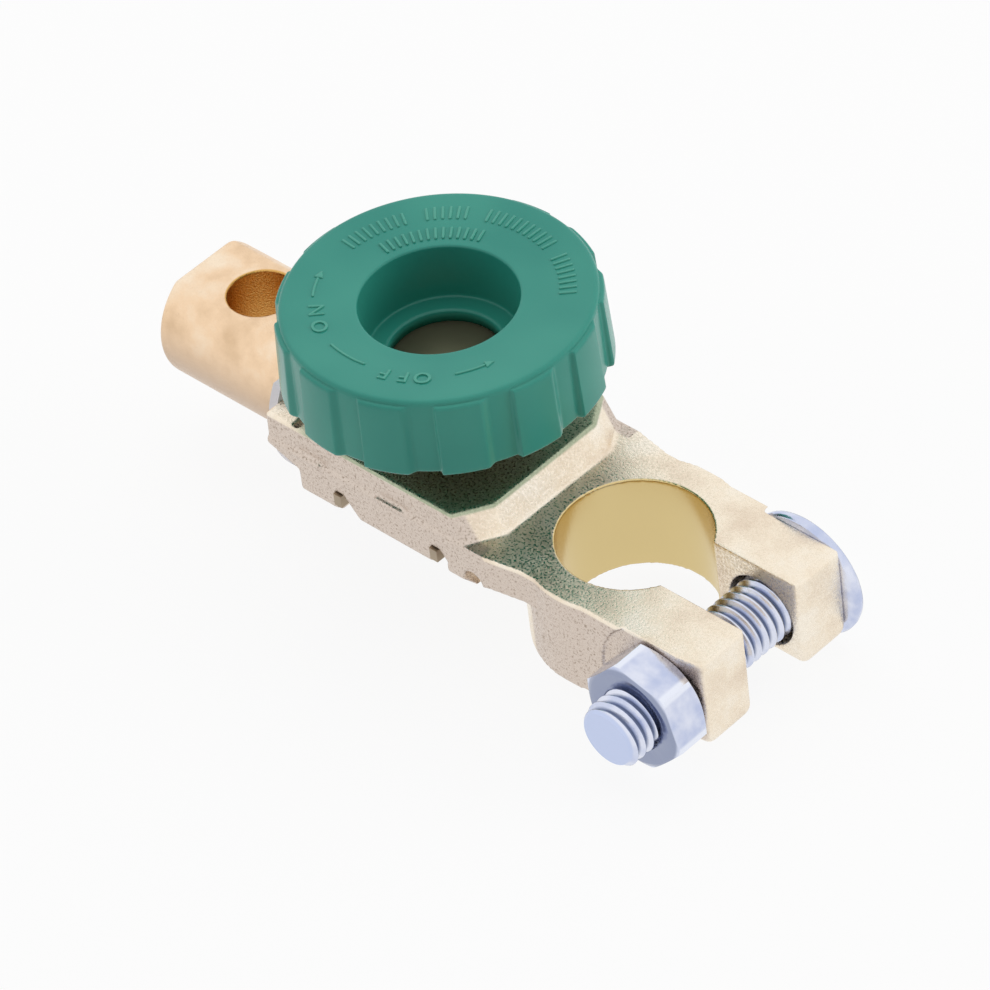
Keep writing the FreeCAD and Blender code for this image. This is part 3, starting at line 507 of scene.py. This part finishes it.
def buildKnob():
    s = knobSettings
    work = bmesh.new()
    top, under = s["top"], s["skirtUnder"]
    edge, holeEdge, skirtEdge = s["edge"], s["holeEdge"], s["skirtEdge"]
    small, fillet, corner, draft = s["smallEdge"], s["fillet"], s["corner"], s["holeDraft"]
    reach = s["radius"] - s["shoulder"]
    drop = s["shoulderTop"] - s["shoulderUnder"]
    section = []
    # the hole over the screw's head and the floor of the recess
    section += [(s["floorHole"], s["headTop"]), (s["floorHole"], s["floor"] - small),
                (s["floorHole"] + small, s["floor"])]
    section += between((s["floorHole"] + corner, s["floor"]), (s["hole"] - fillet - draft, s["floor"]), 3)
    section += roundTurn((s["hole"] - fillet, s["floor"] + fillet), fillet, -90, 0, 3)
    # the wall of the recess and its rounded mouth
    section += between((s["hole"], s["floor"] + corner), (s["hole"] + draft, top - corner), 5)
    section += roundTurn((s["hole"] + holeEdge + draft, top - holeEdge), holeEdge, 180, 90, 5)
    # the dished face, up to the rim
    rim = top + s["dish"]
    section += between((s["hole"] + holeEdge + corner, top),
                       (s["capRadius"] - edge - fillet, rim - s["rimStep"]), 6)
    section += roundTurn((s["capRadius"] - edge, rim - edge), edge, 90, 0, 8)
    for angle in between((90,), (0,), 14):
        turn = math.radians(angle[0])
        section.append((s["shoulder"] + reach * math.cos(turn), s["shoulderUnder"] + drop * math.sin(turn)))
    # down the outside of the skirt and up its inside
    section += between((s["radius"], s["shoulderUnder"] - 2 * small),
                       (s["radius"], under + skirtEdge + draft), 6)
    section += roundTurn((s["radius"] - skirtEdge, under + skirtEdge), skirtEdge, 0, -90, 6)
    section += [(s["skirtInside"] + small, under), (s["skirtInside"], under + small)]
    section += between((s["skirtInside"], under + s["insideStep"]),
                       (s["skirtInside"], s["roofUnder"] - corner), 2)
    section += [(s["skirtInside"] - corner, s["roofUnder"]), (s["hub"] + corner, s["roofUnder"]),
                (s["hub"], s["roofUnder"] - corner)]
    # round the hub, back to the screw's head
    section += [(s["hub"], s["hubUnder"] + fillet), (s["hub"] - fillet, s["hubUnder"]),
                (s["headRoom"], s["hubUnder"]), (s["headRoom"], s["headTop"])]
    spun(work, section, s["pads"] * s["stepsPerPad"])

    # the grip pads stand out of the skirt and reach up to the rim, with a sharp and a soft side
    pitch = 360 / s["pads"]
    sharp, soft = s["padSharpSide"], s["padSoftSide"]
    for vert in work.verts:
        r = math.hypot(vert.co.x, vert.co.y)
        inner = s["shoulder"] if vert.co.z > under + 2 * skirtEdge else s["radius"] - skirtEdge
        if r < inner - 1e-6 or vert.co.z < under - 1e-6:
            continue
        angle = math.degrees(math.atan2(vert.co.y, vert.co.x)) - s["padTurn"]
        away = (angle + pitch / 2) % pitch - pitch / 2
        raised = softStep(away, -s["padHalf"] - sharp, -s["padHalf"] + sharp)
        raised *= 1 - softStep(away, s["padHalf"] - soft, s["padHalf"] + soft)
        grow = (r + s["padProud"] * raised) / r
        if vert.co.z > s["shoulderUnder"]:
            turn = math.acos(min(max((r - s["shoulder"]) / reach, 0), 1))
            full = s["shoulder"] + (reach + s["padProud"]) * math.cos(turn) ** (2 / s["padCorner"])
            level = s["shoulderUnder"] + drop * math.sin(turn) ** (2 / s["padCorner"])
            grow = (r + (full - r) * raised) / r
            vert.co.z += (level - vert.co.z) * raised
        # skirt and pads lean in towards the top, the pads more, and meet the cap where they start
        share = (r * grow - s["shoulder"]) / (reach + s["padProud"] * raised)
        lean = (s["skirtLean"] + s["padLean"] * raised) * (vert.co.z - under) / (top - under)
        grow -= lean * min(max(share, 0), 1) / r
        vert.co.x *= grow
        vert.co.y *= grow

    # webs between hub and skirt
    for i in range(s["webs"]):
        turn = Matrix.Rotation(math.tau * i / s["webs"] + math.radians(s["padTurn"]), 4, "Z")
        size = Matrix.Diagonal((s["skirtInside"] - s["hub"] + s["webLap"], s["webThick"], s["webTall"], 1))
        middle = Matrix.Translation(((s["skirtInside"] + s["hub"]) / 2, 0, s["roofUnder"] - s["webDrop"]))
        bmesh.ops.create_cube(work, size=1, matrix=turn @ middle @ size)
    bmesh.ops.translate(work, verts=work.verts, vec=knobAxis)
    knob = finishPiece("gripKnob", work, plasticFinish)
    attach(knob, "knob_and_screw")
    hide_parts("knob")


buildKnob()
print("knob made")


# raised marks on the knob
markSettings = {
    "height": 0.00016,
    "sunk": 0.0001,
    "letterSize": 0.0025,
    "letterWeight": 0.00004,
    "ring": 0.0133,
    "lineWidth": 0.00030,
    "headWidth": 0.0011,
    "headAngle": 5.0,
    "barWidth": 0.00034,
    "bevel": 0.00012,
    "arrowSteps": 16,
}
# arrows and the plain line: angle and radius where each starts, and where it ends
arrowMarks = {
    "markOnArrow": {"start": (-143.6, 0.0139), "end": (-161.7, 0.01406), "head": True},
    "markOffArrow": {"start": (-38.9, 0.0131), "end": (-18.5, 0.0129), "head": True},
    "markLine": {"start": (-107.9, 0.01335), "end": (-84.7, 0.0129), "head": False},
}
# letters by name: the letter and the angle of its middle
letterMarks = {
    "markOnO": ("O", -122.0),
    "markOnN": ("N", -134.0),
    "markOffO": ("O", -54.0),
    "markOffF": ("F", -62.8),
    "markOffF2": ("F", -72.3),
}
# groups of short raised bars: first angle, number, and the step between bars
barMarks = [
    {"first": 39.0, "count": 8, "step": 3.6, "ring": 0.0142, "tall": 0.0020},
    {"first": 74.0, "count": 11, "step": 3.6, "ring": 0.0142, "tall": 0.0020},
    {"first": 120.5, "count": 6, "step": 3.6, "ring": 0.0142, "tall": 0.0020},
    {"first": 149.0, "count": 9, "step": 3.6, "ring": 0.0142, "tall": 0.0020},
    {"first": 108.0, "count": 14, "step": 4.5, "ring": 0.0110, "tall": 0.0018},
]


def raisedMark(name, work):
    # thickens flat faces in the z 0 plane and sets them on the knob's face
    s = markSettings
    region = bmesh.ops.extrude_face_region(work, geom=work.faces[:])
    lifted = [item for item in region["geom"] if isinstance(item, bmesh.types.BMVert)]
    bmesh.ops.translate(work, verts=lifted, vec=(0, 0, s["height"] + s["sunk"]))
    knobRim, knobHole = knobSettings["capRadius"], knobSettings["hole"]
    for vert in work.verts:
        part = (math.hypot(vert.co.x, vert.co.y) - knobHole) / (knobRim - knobHole)
        vert.co.z += knobSettings["top"] + knobSettings["dish"] * part - s["sunk"]
    bmesh.ops.recalc_face_normals(work, faces=work.faces)
    bmesh.ops.translate(work, verts=work.verts, vec=knobAxis)
    mark = finishPiece(name, work, markHighlightFinish, smooth=False)
    bevel = mark.modifiers.new("softEdges", "BEVEL")
    bevel.width = s["bevel"]
    bevel.segments = 2
    bevel.limit_method = "ANGLE"
    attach(mark, "knob_and_screw")


def letterMark(name, text, angle):
    s = markSettings
    curve = bpy.data.curves.new(name, "FONT")
    curve.body = text
    curve.size = s["letterSize"]
    curve.align_x = "CENTER"
    curve.align_y = "CENTER"
    curve.resolution_u = 6
    curve.offset = s["letterWeight"]
    source = bpy.data.objects.new(name + "Source", curve)
    bpy.context.scene.collection.objects.link(source)
    bpy.context.view_layer.update()
    flat = bpy.data.meshes.new_from_object(source)
    bpy.data.objects.remove(source)
    work = bmesh.new()
    work.from_mesh(flat)
    bmesh.ops.remove_doubles(work, verts=work.verts, dist=1e-6)
    # the letter is bent along the ring, with its top outward
    for vert in work.verts:
        bend = math.radians(angle) - vert.co.x / s["ring"]
        r = s["ring"] + vert.co.y
        vert.co = Vector((r * math.cos(bend), r * math.sin(bend), 0))
    raisedMark(name, work)


def ringPoint(angle, radius):
    turn = math.radians(angle)
    return Vector((radius * math.cos(turn), radius * math.sin(turn), 0))


def arrowMark(name, start, end, head):
    # a raised line along the ring, with a pointed head where it has one
    s = markSettings
    work = bmesh.new()
    way = 1 if end[0] > start[0] else -1
    lineEnd = end[0] - way * s["headAngle"] if head else end[0]
    rows = []
    for i in range(s["arrowSteps"] + 1):
        part = i / s["arrowSteps"]
        angle = start[0] + (lineEnd - start[0]) * part
        radius = start[1] + (end[1] - start[1]) * part
        sides = (radius - s["lineWidth"] / 2, radius + s["lineWidth"] / 2)
        rows.append([work.verts.new(ringPoint(angle, side)) for side in sides])
    for first, second in zip(rows, rows[1:]):
        work.faces.new((first[0], second[0], second[1], first[1]))
    if head:
        corners = [ringPoint(lineEnd, end[1] - s["headWidth"] / 2), ringPoint(end[0], end[1]),
                   ringPoint(lineEnd, end[1] + s["headWidth"] / 2)]
        work.faces.new([work.verts.new(corner) for corner in corners])
    bmesh.ops.recalc_face_normals(work, faces=work.faces)
    raisedMark(name, work)


def barMark(name, first, count, step, ring, tall):
    # a group of short raised bars that point to the knob's axis
    work = bmesh.new()
    for i in range(count):
        turn = math.radians(first + i * step)
        out = Vector((math.cos(turn), math.sin(turn), 0))
        across = Vector((-out.y, out.x, 0)) * markSettings["barWidth"] / 2
        inner, outer = out * (ring - tall / 2), out * (ring + tall / 2)
        corners = (inner - across, outer - across, outer + across, inner + across)
        work.faces.new([work.verts.new(corner) for corner in corners])
    raisedMark(name, work)


for name, (letter, angle) in letterMarks.items():
    letterMark(name, letter, angle)
for name, arrow in arrowMarks.items():
    arrowMark(name, **arrow)
for number, group in enumerate(barMarks, 1):
    barMark(f"markBars{number}", **group)
print("marks made")


# screw threads for the bolt and the contact screw
threadSettings = {
    "turnSteps": 40,
    "depth": 0.61,  # of the pitch
    # one groove and crest: the share of the depth below the crest, and of the pitch along the axis
    "profile": [(1, 0), (0.9, 0.06), (0.12, 0.40), (0, 0.46), (0, 0.56), (0.12, 0.62), (0.9, 0.94), (1, 1)],
}


def threadedRod(work, radius, pitch, start, end, chamfer):
    # a screw thread along +Z from start to end, closed at both ends
    s = threadSettings
    depth = pitch * s["depth"]
    turns = math.ceil((end - start) / pitch) + 2
    outline = chain(work, [(radius - depth * deep, start - pitch + pitch * along)
                           for deep, along in s["profile"]])
    bmesh.ops.spin(work, geom=outline, cent=(0, 0, 0), axis=(0, 0, 1), dvec=(0, 0, pitch / s["turnSteps"]),
                   angle=math.tau * turns, steps=turns * s["turnSteps"])
    bmesh.ops.remove_doubles(work, verts=work.verts, dist=1e-6)
    for height, way in ((start, -1), (end, 1)):
        bmesh.ops.bisect_plane(work, geom=work.verts[:] + work.edges[:] + work.faces[:], dist=1e-7,
                               plane_co=(0, 0, height), plane_no=(0, 0, way), clear_outer=True)
        rim = [edge for edge in work.edges if edge.is_boundary
               and all(abs(vert.co.z - height) < 1e-6 for vert in edge.verts)]
        bmesh.ops.holes_fill(work, edges=rim, sides=0)
        # the end stays flat, with a sharp edge round it
        for edge in rim:
            edge.smooth = False
    for vert in work.verts:
        r = math.hypot(vert.co.x, vert.co.y)
        allowed = radius - chamfer + (vert.co.z - start)
        if r > allowed:
            vert.co.x *= allowed / r
            vert.co.y *= allowed / r
    bmesh.ops.recalc_face_normals(work, faces=work.faces)


# the clamp bolt and its nut
boltSettings = {
    "x": boltAxis[0],
    "z": boltAxis[1],
    "end": boltLow[1],
    "headTop": boltHigh[1],
    "headRadius": (boltHigh[0] - boltLow[0]) / 2,
    "rim": 0.001,
    "dome": 0.0022,
    "radius": 0.0039,
    "pitch": 0.00125,
    "chamfer": 0.0006,
    "plainShank": 0.004,
    "square": 0.004,
    "squareLong": 0.0048,
    "squareMiddle": 0.0020,
    "headEdge": 0.0003,
    "domeStart": (0.00008, 0.0001),
    "domeCut": 0.6,
    "headSteps": 96,
}


def buildBolt():
    s = boltSettings
    seat = s["headTop"] - s["rim"] - s["dome"]
    work = bmesh.new()
    # built along +Z from its threaded end, then laid along +Y
    threadedRod(work, s["radius"], s["pitch"], s["end"], seat - s["plainShank"], s["chamfer"])
    head = bmesh.new()
    r, edge = s["headRadius"], s["headEdge"]
    sphere = (r * r + s["dome"] * s["dome"]) / (2 * s["dome"])
    reach = math.degrees(math.asin(r / sphere))
    centre = seat + s["rim"] + s["dome"] - sphere
    section = [(0, seat), (r - edge, seat), (r, seat + edge), (r, seat + s["rim"] - edge)]
    section += [(r - s["domeStart"][0], seat + s["rim"] - s["domeStart"][1])]
    section += roundTurn((0, centre), sphere, 90 - reach + s["domeCut"], 90, 14)
    outline = chain(head, section)
    bmesh.ops.spin(head, geom=outline, cent=(0, 0, 0), axis=(0, 0, 1), angle=math.tau,
                   steps=s["headSteps"], use_merge=True)
    bmesh.ops.remove_doubles(head, verts=head.verts, dist=1e-6)
    size = Matrix.Diagonal((s["square"] * 2, s["square"] * 2, s["squareLong"], 1))
    middle = Matrix.Translation((0, 0, seat - s["squareMiddle"]))
    bmesh.ops.create_cube(head, size=1, matrix=middle @ size)
    bmesh.ops.recalc_face_normals(head, faces=head.faces)
    headMesh = bpy.data.meshes.new("boltHead")
    head.to_mesh(headMesh)
    head.free()
    work.from_mesh(headMesh)
    lay = Matrix.Rotation(math.radians(-90), 4, "X")
    place = Matrix.Translation((s["x"], 0, s["z"]))
    bmesh.ops.transform(work, matrix=place @ lay, verts=work.verts)
    bolt = finishPiece("platedBolt", work, threadFinish)
    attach(bolt, "bolt")
    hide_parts("clamp_bolt")


buildBolt()
nutSettings = {"bevel": 0.00014, "sharpest": 12}
nut = mergedCopy("clamp_nut", "platedNut", zincFinish)
nutEdges = nut.modifiers.new("softEdges", "BEVEL")
nutEdges.width = nutSettings["bevel"]
nutEdges.segments = 2
nutEdges.limit_method = "ANGLE"
nutEdges.angle_limit = math.radians(nutSettings["sharpest"])
nutEdges.harden_normals = True
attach(nut, "nut")
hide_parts("clamp_nut")
print("bolt and nut made")


# the contact screw under the knob
screwLow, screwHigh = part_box("contact_screw")
screwSettings = {
    "end": screwLow[2],
    "washerUnder": washerLow[2],
    "radius": 0.00495,
    "pitch": 0.0015,
    "chamfer": 0.0008,
    "threadGap": 0.0008,
    "neck": 0.0044,
    "neckStart": washerLow[2] - 0.0014,
    "neckEnd": screwHigh[2] - 0.0002,
    "neckSteps": 64,
    "flats": 0.0169,
    "headUnder": washerHigh[2] + 0.00005,
}


def buildScrew():
    s = screwSettings
    work = bmesh.new()
    threadedRod(work, s["radius"], s["pitch"], s["end"], s["washerUnder"] - s["threadGap"], s["chamfer"])
    rest = bmesh.new()
    middle = Matrix.Translation((0, 0, (s["neckStart"] + s["neckEnd"]) / 2))
    bmesh.ops.create_cone(rest, cap_ends=True, segments=s["neckSteps"], radius1=s["neck"],
                          radius2=s["neck"], depth=s["neckEnd"] - s["neckStart"], matrix=middle)
    middle = Matrix.Translation((0, 0, (s["headUnder"] + screwHigh[2]) / 2))
    turn = Matrix.Rotation(math.radians(knobSettings["padTurn"] + 30), 4, "Z")
    corner = s["flats"] / math.sqrt(3)
    bmesh.ops.create_cone(rest, cap_ends=True, segments=6, radius1=corner, radius2=corner,
                          depth=screwHigh[2] - s["headUnder"], matrix=middle @ turn)
    bmesh.ops.recalc_face_normals(rest, faces=rest.faces)
    restMesh = bpy.data.meshes.new("screwHead")
    rest.to_mesh(restMesh)
    rest.free()
    work.from_mesh(restMesh)
    bmesh.ops.translate(work, verts=work.verts, vec=knobAxis)
    screw = finishPiece("threadedScrew", work, contactFinish)
    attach(screw, "knob_and_screw")
    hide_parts("contact_screw")


buildScrew()
print("contact screw made")

cadFinishes = {
    "insulator_liner": insulatorFinish,
    "base_insulator": insulatorFinish,
    "retaining_plate": nibFinish,
    "contact_washer": contactFinish,
}
for node, finish in cadFinishes.items():
    for slotRow in frame["nodes"][node].material_slots:
        slotRow.link = "OBJECT"
        slotRow.material = finish
print("CAD pieces given their finishes")


# floor, light and camera
lightSettings = {
    "floorGap": 0.00002,
    "floorSize": 3.0,
    "keyPower": 4.8,
    "keyPlace": (-0.30, 0.33, 0.80),
    "keySize": 1.3,
    "leftPower": 0.8,
    "leftPlace": (-0.50, -0.52, 0.30),
    "rightPower": 1.8,
    "rightPlace": (0.50, 0.52, 0.30),
    "sideSize": 0.45,
    "world": 0.36,
    "floorColour": rgb(245, 245, 245),
    "floorRoughness": 0.9,
    "floorGlow": 0.9,
    "white": 1.0,
}


def addSoftLight(name, place, target, size, power):
    data = bpy.data.lights.new(name, "AREA")
    data.shape = "SQUARE"
    data.size = size
    data.energy = power
    lamp = bpy.data.objects.new(name, data)
    lamp.location = place
    lamp.rotation_mode = "QUATERNION"
    lamp.rotation_quaternion = (Vector(target) - Vector(place)).to_track_quat("-Z", "Y")
    # metal mirrors the white world alone, so that its colour stays as it is written
    lamp.visible_glossy = False
    bpy.context.scene.collection.objects.link(lamp)


def seenBackground(tree):
    # 1 for rays that show the background itself: seen straight on, mirrored in metal, or through a piece
    path = tree.nodes.new("ShaderNodeLightPath")
    seen = maths(tree, "MAXIMUM", path.outputs["Is Camera Ray"], path.outputs["Is Transmission Ray"])
    return maths(tree, "MAXIMUM", seen, path.outputs["Is Glossy Ray"])


def brightToCamera(tree, surface, strength):
    # the floor is plain white where it is seen, with some of its shadow kept
    glow = addNode(tree, "ShaderNodeEmission", Strength=strength)
    mix = tree.nodes.new("ShaderNodeMixShader")
    seen = seenBackground(tree)
    tree.links.new(maths(tree, "MULTIPLY", seen, lightSettings["floorGlow"]), mix.inputs[0])
    tree.links.new(surface, mix.inputs[1])
    tree.links.new(glow.outputs[0], mix.inputs[2])
    return mix.outputs[0]


def buildStudio():
    s = lightSettings
    work = bmesh.new()
    bmesh.ops.create_grid(work, x_segments=1, y_segments=1, size=s["floorSize"] / 2)
    bmesh.ops.translate(work, verts=work.verts, vec=(0, 0, low[2] - s["floorGap"]))
    material, tree, shader = newMaterial("studioFloor")
    shader.inputs["Base Color"].default_value = s["floorColour"]
    shader.inputs["Roughness"].default_value = s["floorRoughness"]
    output = tree.nodes["Material Output"]
    tree.links.new(brightToCamera(tree, shader.outputs[0], s["white"]), output.inputs["Surface"])
    floor = finishPiece("studioFloor", work, material)
    floor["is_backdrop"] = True
    middle = (low + high) / 2
    addSoftLight("keyLight", s["keyPlace"], middle, s["keySize"], s["keyPower"])
    addSoftLight("leftLight", s["leftPlace"], middle, s["sideSize"], s["leftPower"])
    addSoftLight("rightLight", s["rightPlace"], middle, s["sideSize"], s["rightPower"])
    world = bpy.data.worlds.new("studio")
    bpy.context.scene.world = world
    world.use_nodes = True
    tree = world.node_tree
    sky = tree.nodes["Background"]
    seen = seenBackground(tree)
    strength = maths(tree, "MULTIPLY_ADD", seen, s["white"] - s["world"], s["world"])
    tree.links.new(strength, sky.inputs["Strength"])
    sky.inputs["Color"].default_value = (1, 1, 1, 1)


buildStudio()

cameraSettings = {
    "azimuth": -41.886,
    "elevation": 41.952,
    "roll": 7.693,
    "distance": 0.70,
    "lens": 231.3,
    "sensor": 36.0,
    "imageSize": 990,
    "originPixel": (644.155, 617.829),
    "nearest": 0.01,
    "farthest": 20,
}


def buildCamera():
    s = cameraSettings
    azimuth = math.radians(s["azimuth"])
    elevation = math.radians(s["elevation"])
    roll = math.radians(s["roll"])
    back = Vector((math.cos(azimuth) * math.cos(elevation), math.sin(azimuth) * math.cos(elevation),
                   math.sin(elevation)))
    level = (-back).cross(Vector((0, 0, 1))).normalized()
    fall = (-back).cross(level)
    right = level * math.cos(roll) + fall * math.sin(roll)
    down = fall * math.cos(roll) - level * math.sin(roll)
    pixelsPerMetre = s["lens"] / s["sensor"] * s["imageSize"] / s["distance"]
    offset = [(pixel - s["imageSize"] / 2) / pixelsPerMetre for pixel in s["originPixel"]]
    data = bpy.data.cameras.new("photoCamera")
    data.lens = s["lens"]
    data.sensor_width = s["sensor"]
    data.clip_start = s["nearest"]
    data.clip_end = s["farthest"]
    camera = bpy.data.objects.new("photoCamera", data)
    place = back * s["distance"] - right * offset[0] - down * offset[1]
    turn = Matrix((right, -down, back)).transposed().to_4x4()
    camera.matrix_world = Matrix.Translation(place) @ turn
    bpy.context.scene.collection.objects.link(camera)
    bpy.context.scene.camera = camera


buildCamera()
bpy.context.scene.view_settings.view_transform = "Standard"
print("studio and camera made")

low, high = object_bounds()
